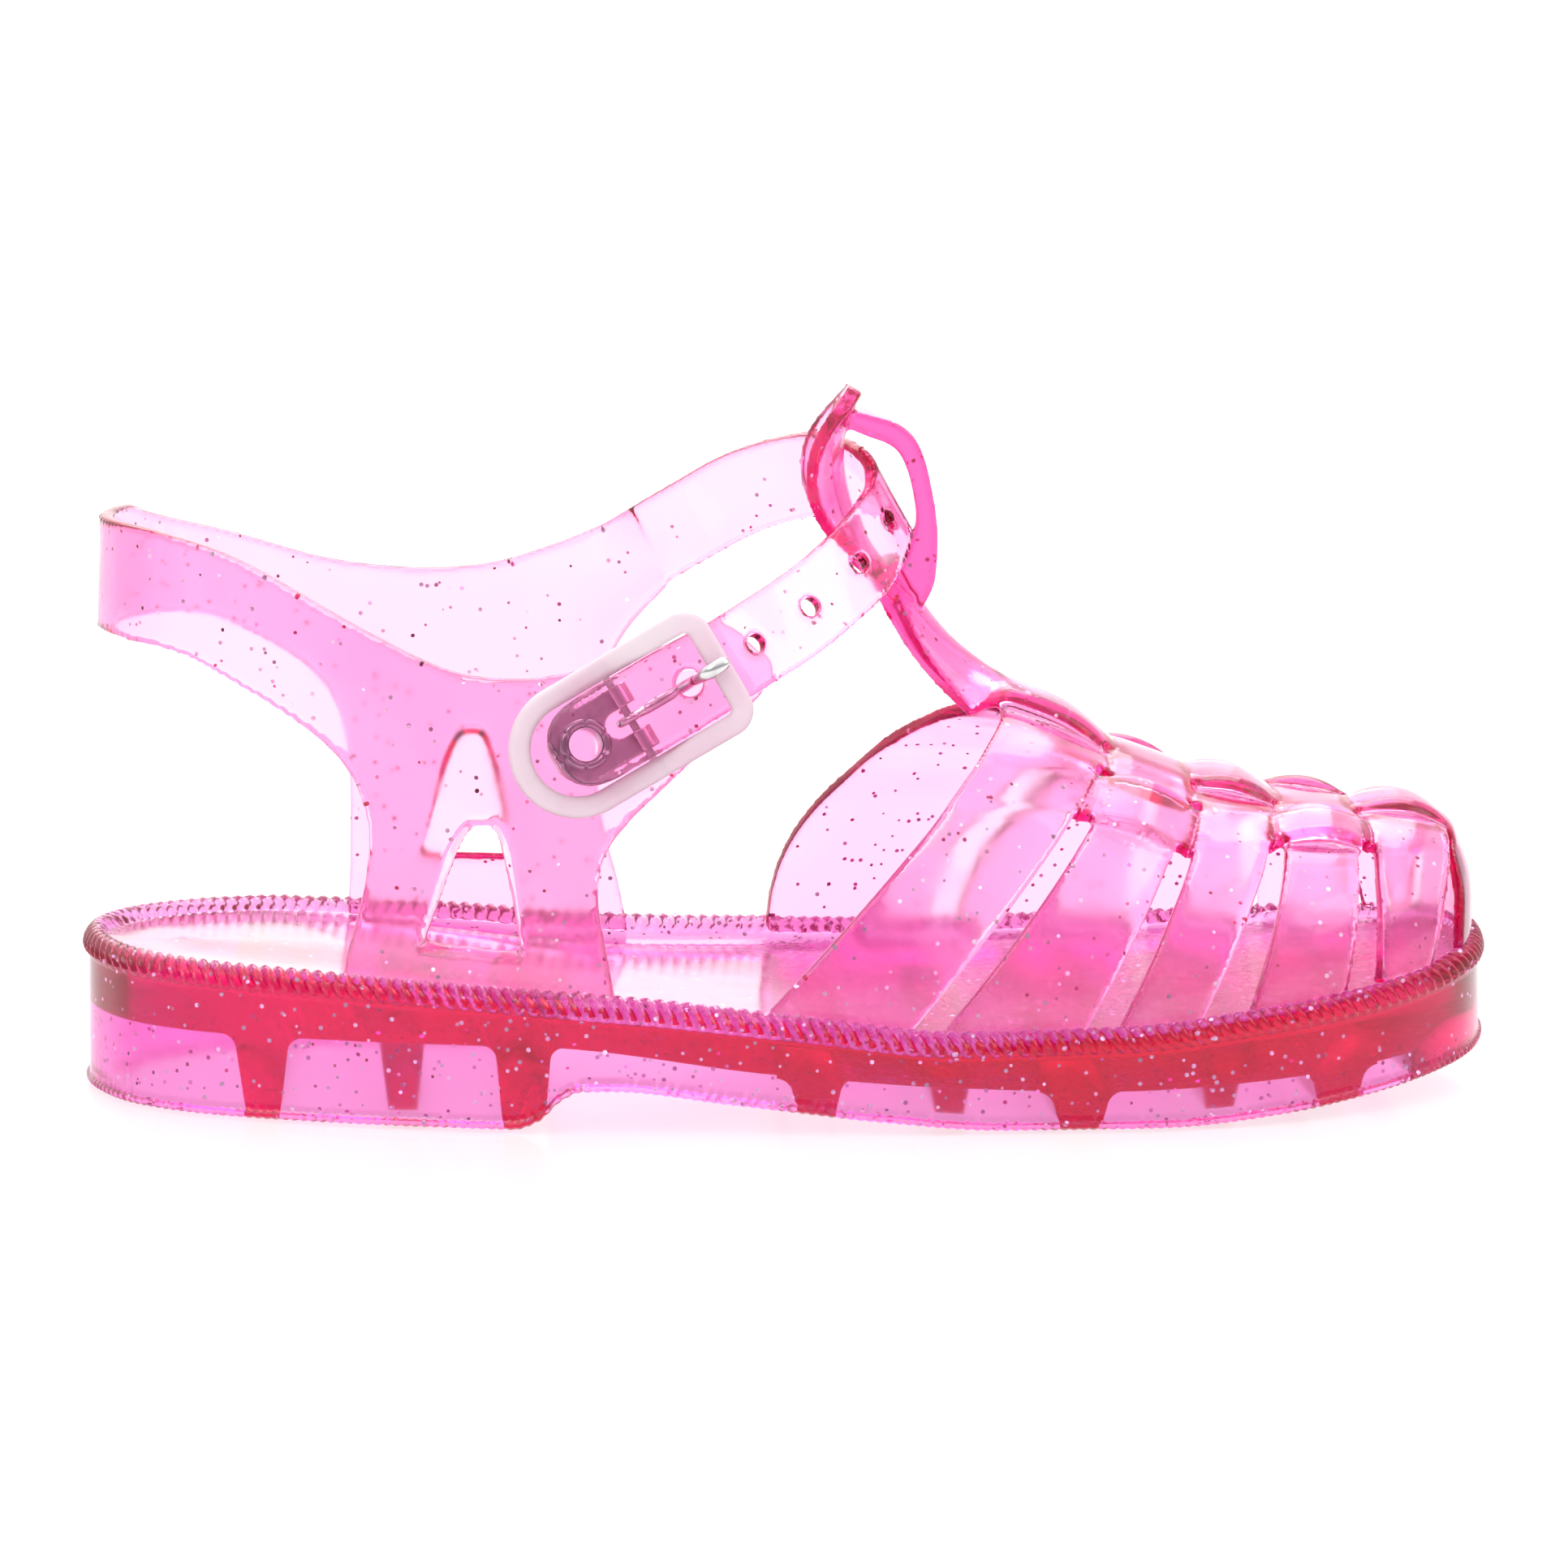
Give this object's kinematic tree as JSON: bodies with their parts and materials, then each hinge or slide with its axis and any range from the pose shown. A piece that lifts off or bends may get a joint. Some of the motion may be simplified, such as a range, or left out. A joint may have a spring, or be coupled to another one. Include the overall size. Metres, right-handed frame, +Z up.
{
  "type": "jelly sandal",
  "caption": "Child's closed-toe jelly sandal for the right foot: woven toe cage with T-bar, ankle strap with side buckle, and a hollow ribbed sole",
  "frame": {"origin": "centre of the bounding box at the ground the sole stands on", "axes": "+X to the toe, +Y to the inner (medial) side, -Y to the outer side with the buckle, +Z up"},
  "size_m": [0.1718, 0.0698, 0.0848],
  "materials": {
    "sole_pvc": "glossy translucent crimson glitter PVC",
    "cage_pvc": "glossy translucent pink glitter PVC",
    "back_pvc": "glossy translucent light pink glitter PVC",
    "buckle_plastic": "frosted translucent lilac-white plastic",
    "prong_metal": "bright plated wire",
    "plate_metal": "grey metal strip seen through pink plastic",
    "eyelet_metal": "plated hollow eyelet"
  },
  "bodies": {
    "root": {"sole": "sole_pvc", "vamp_cage": "cage_pvc", "back_upper": "back_pvc", "buckle_frame": "buckle_plastic", "buckle_prong": "prong_metal", "buckle_plate": "plate_metal", "buckle_rivet": "eyelet_metal"}
  },
  "joints": []
}
